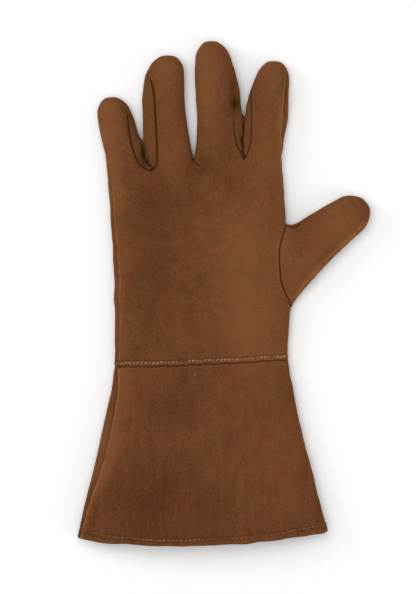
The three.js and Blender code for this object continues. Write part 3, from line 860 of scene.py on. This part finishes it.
def stitch_row(name, kind, pitch, length, thick, slant, colour):
    """A row of stitches beside a seam or the hem, all round the glove."""
    chance = Random(kind)
    run = in_order(lines[kind])
    row = bmesh.new()
    travelled = pitch / 2
    for number, point in enumerate(run):
        following = run[(number + 1) % len(run)]
        step = (following - point).length
        while travelled < step:
            at = point.lerp(following, travelled / step)
            at.y += strays(at, *STRAYING[kind])
            ahead = (following - point).normalized()
            out = surface.find_nearest(at + Vector((0, STITCH_LINES[kind], 0)))[1]
            over = out.cross(ahead).normalized()
            if over.y < 0:
                over, ahead = -over, -ahead
            beside = STITCH_LINES[kind] + chance.uniform(-UNEVEN_PLACE, UNEVEN_PLACE) * thick
            place, out, _, _ = surface.find_nearest(at + over * beside)
            turn = Matrix((ahead, out.cross(ahead).normalized(), out)).transposed().to_4x4()
            made = bmesh.ops.create_uvsphere(row, u_segments=7, v_segments=6, radius=0.5)["verts"]
            bmesh.ops.rotate(row, verts=made, matrix=Matrix.Rotation(math.pi / 2, 3, "Y"))
            size = Vector((length, thick, thick * FLAT_THREAD)) * chance.uniform(*UNEVEN_SIZE)
            bmesh.ops.scale(row, verts=made, vec=size)
            turned = slant + chance.uniform(-UNEVEN_SLANT, UNEVEN_SLANT)
            bmesh.ops.rotate(row, verts=made, matrix=Matrix.Rotation(turned, 3, "Z"))
            place += out * thick * SUNK_THREAD
            bmesh.ops.transform(row, verts=made, matrix=Matrix.Translation(place) @ turn)
            travelled += pitch
        travelled -= step
    for vertex in row.verts:
        vertex.co.z = max(vertex.co.z, 0.02 * MM)
    for face in row.faces:
        face.smooth = True
    mesh = bpy.data.meshes.new(name)
    row.to_mesh(mesh)
    row.free()
    stitches = bpy.data.objects.new(name, mesh)
    bpy.context.scene.collection.objects.link(stitches)
    thread = Suede(name + "_thread")
    place = thread.node("ShaderNodeTexCoord", {}, {}, 3)
    shade = thread.ease(0.6 * thread.noise(place, 9, 2) + 0.4 * thread.noise(place, 1.4, 2), 0.35, 0.65)
    brown = thread.mix(shade, shaded(colour, DARK_THREAD), shaded(colour, LIGHT_THREAD))
    thread.shader.inputs["Roughness"].default_value = 0.8
    thread.shader.inputs["Specular IOR Level"].default_value = 0.2
    thread.tree.links.new(brown.socket, thread.shader.inputs["Base Color"])
    mesh.materials.append(thread.material)
    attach(stitches, "root")
    return stitches


stitch_row(
    "wrist_stitches", "wrist", pitch=2.6 * MM, length=2.4 * MM, thick=1.35 * MM,
    slant=math.radians(18), colour=(0.30, 0.130, 0.062),
)
stitch_row(
    "hem_stitches", "hem", pitch=2.8 * MM, length=2.4 * MM, thick=0.75 * MM,
    slant=0, colour=(0.21, 0.093, 0.043),
)
skin.free()


# ---- Table, light and camera
# The glove lies on a pale table under broad soft light. The camera looks straight down on it.

TABLE_MIDDLE = Vector((-9.65, -1.81, 0)) * MM
VIEW_HEIGHT = 386.1 * MM
CAMERA_HEIGHT = 2.2
OUTLINE_HEIGHT = 6 * MM
TABLE_DROP = 0.2 * MM
TABLE_PALE = (0.96, 0.96, 0.96, 1)
ROOM_LIGHT = 0.45
FILM_WIDTH = 36

table = bmesh.new()
bmesh.ops.create_grid(table, x_segments=1, y_segments=1, size=3)
mesh = bpy.data.meshes.new("table")
table.to_mesh(mesh)
table.free()
floor = bpy.data.objects.new("table", mesh)
floor.data.transform(Matrix.Translation((0, 0, -TABLE_DROP)))
bpy.context.scene.collection.objects.link(floor)
paint = Suede("pale_table")
paint.shader.inputs["Base Color"].default_value = TABLE_PALE
paint.shader.inputs["Roughness"].default_value = 0.9
mesh.materials.append(paint.material)


def soft_light(name, place, size, power):
    """A square light that points at the middle of the table. Metres and watts."""
    lamp = bpy.data.lights.new(name, "AREA")
    lamp.size, lamp.energy = size, power
    light = bpy.data.objects.new(name, lamp)
    light.location = place
    light.rotation_euler = (TABLE_MIDDLE - Vector(place)).to_track_quat("-Z", "Y").to_euler()
    bpy.context.scene.collection.objects.link(light)


soft_light("overhead", (-0.25, 0.2, 2.0), 1.8, 26)
soft_light("left_side", (-1.6, 0.7, 0.9), 0.8, 8)
soft_light("right_side", (1.6, -0.8, 0.9), 0.8, 5)
world = bpy.data.worlds.new("studio")
world.use_nodes = True
world.node_tree.nodes["Background"].inputs["Color"].default_value = (1, 1, 1, 1)
world.node_tree.nodes["Background"].inputs["Strength"].default_value = ROOM_LIGHT
bpy.context.scene.world = world

lens = bpy.data.cameras.new("camera")
lens.sensor_width = FILM_WIDTH
lens.lens = FILM_WIDTH * (CAMERA_HEIGHT - OUTLINE_HEIGHT) / VIEW_HEIGHT
lens.clip_start = 0.01
camera = bpy.data.objects.new("camera", lens)
camera.location = TABLE_MIDDLE + Vector((0, 0, CAMERA_HEIGHT))
bpy.context.scene.collection.objects.link(camera)
bpy.context.scene.camera = camera

bpy.context.scene.view_settings.view_transform = "Standard"
bpy.context.view_layer.update()
